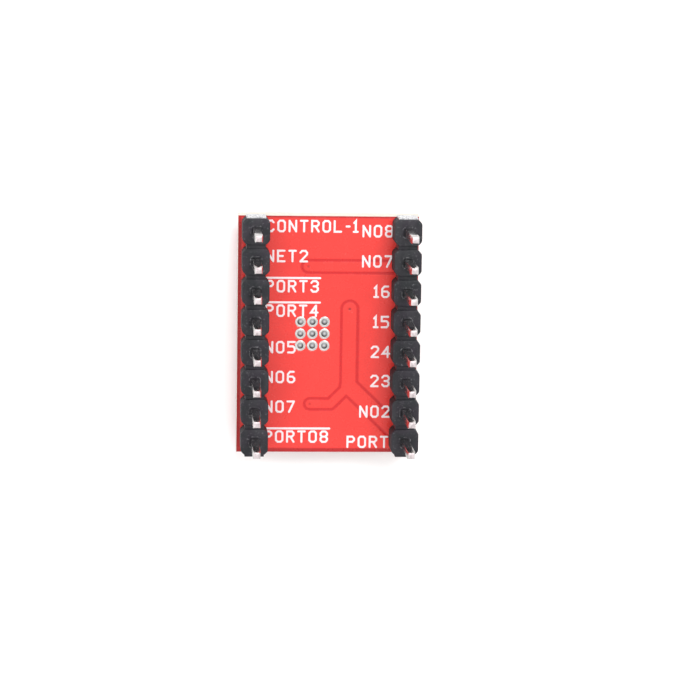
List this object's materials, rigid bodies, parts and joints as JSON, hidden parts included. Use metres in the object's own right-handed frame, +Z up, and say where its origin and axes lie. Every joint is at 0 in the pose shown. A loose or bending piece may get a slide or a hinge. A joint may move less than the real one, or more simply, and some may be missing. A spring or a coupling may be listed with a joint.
{
  "type": "stepper driver module",
  "caption": "Small red circuit board carrying a stepper motor driver chip and a current trimmer, with two rows of long header pins for plugging into a socket.",
  "frame": {"origin": "middle of the footprint at the level of the pin tails' ends, on which the module rests", "axes": "+Z up along the header pins towards their long ends, +Y along the header rows towards the trimmer's end, +X across the rows"},
  "size_m": [0.0153, 0.0204, 0.0115],
  "materials": {
    "board_laminate": "glass-epoxy laminate, sawn edge",
    "red_lacquer": "glossy red solder mask",
    "copper_foil": "etched copper foil",
    "hole_plating": "tinned copper sleeves",
    "header_plastic": "satin black moulded plastic",
    "pin_plating": "tin plated brass, bright",
    "solder": "tin solder, satin",
    "chip_moulding": "matt black moulding compound",
    "lead_frame": "tinned copper lead frame",
    "silicon": "polished silicon",
    "die_bond": "silver filled adhesive",
    "gold_wire": "gold wire",
    "alumina": "white alumina",
    "capacitor_ceramic": "tan fired ceramic",
    "black_glaze": "black resistor glaze",
    "cap_tin": "matt tin plating",
    "trimmer_plastic": "white moulded plastic",
    "resistive_film": "black resistive film",
    "dial_metal": "nickel plated brass"
  },
  "bodies": {
    "module": {"board_core": "board_laminate", "chip_bond_wires": "gold_wire", "chip_die": "silicon", "chip_die_attach": "die_bond", "chip_heat_pad": "lead_frame", "chip_heat_solder": "solder", "chip_moulding": "chip_moulding", "chip_terminal_solder": "solder", "chip_terminals": "lead_frame", "component_side_copper": "copper_foil", "component_side_mask": "red_lacquer", "component_solder": "solder", "header_pin_01": "pin_plating", "header_pin_02": "pin_plating", "header_pin_03": "pin_plating", "header_pin_04": "pin_plating", "header_pin_05": "pin_plating", "header_pin_06": "pin_plating", "header_pin_07": "pin_plating", "header_pin_08": "pin_plating", "header_pin_09": "pin_plating", "header_pin_10": "pin_plating", "header_pin_11": "pin_plating", "header_pin_12": "pin_plating", "header_pin_13": "pin_plating", "header_pin_14": "pin_plating", "header_pin_15": "pin_plating", "header_pin_16": "pin_plating", "heat_via_sleeves": "hole_plating", "heat_via_solder": "solder", "left_header_plastic": "header_plastic", "left_hole_sleeves": "hole_plating", "left_pin_solder": "solder", "pin_side_copper": "copper_foil", "pin_side_mask": "red_lacquer", "right_header_plastic": "header_plastic", "right_hole_sleeves": "hole_plating", "right_pin_solder": "solder", "sense_resistor_bodies": "alumina", "sense_resistor_caps": "cap_tin", "sense_resistor_glaze": "black_glaze", "signal_via_sleeves": "hole_plating", "small_capacitor_bodies": "capacitor_ceramic", "small_capacitor_caps": "cap_tin", "small_resistor_bodies": "alumina", "small_resistor_caps": "cap_tin", "small_resistor_glaze": "black_glaze", "supply_capacitor_bodies": "capacitor_ceramic", "supply_capacitor_caps": "cap_tin", "trimmer_base": "alumina", "trimmer_element": "resistive_film", "trimmer_housing": "trimmer_plastic", "trimmer_solder": "solder", "trimmer_terminals": "cap_tin"},
    "dial": {"trimmer_dial": "dial_metal", "trimmer_collar": "dial_metal", "trimmer_wiper": "dial_metal"}
  },
  "joints": [
    {"name": "trimmer_turn", "type": "hinge", "parent": "module", "child": "dial", "pos_m": [0, 0.00745, 0.0005], "axis": [0, 0, 1], "range_deg": [-105, 105]}
  ]
}
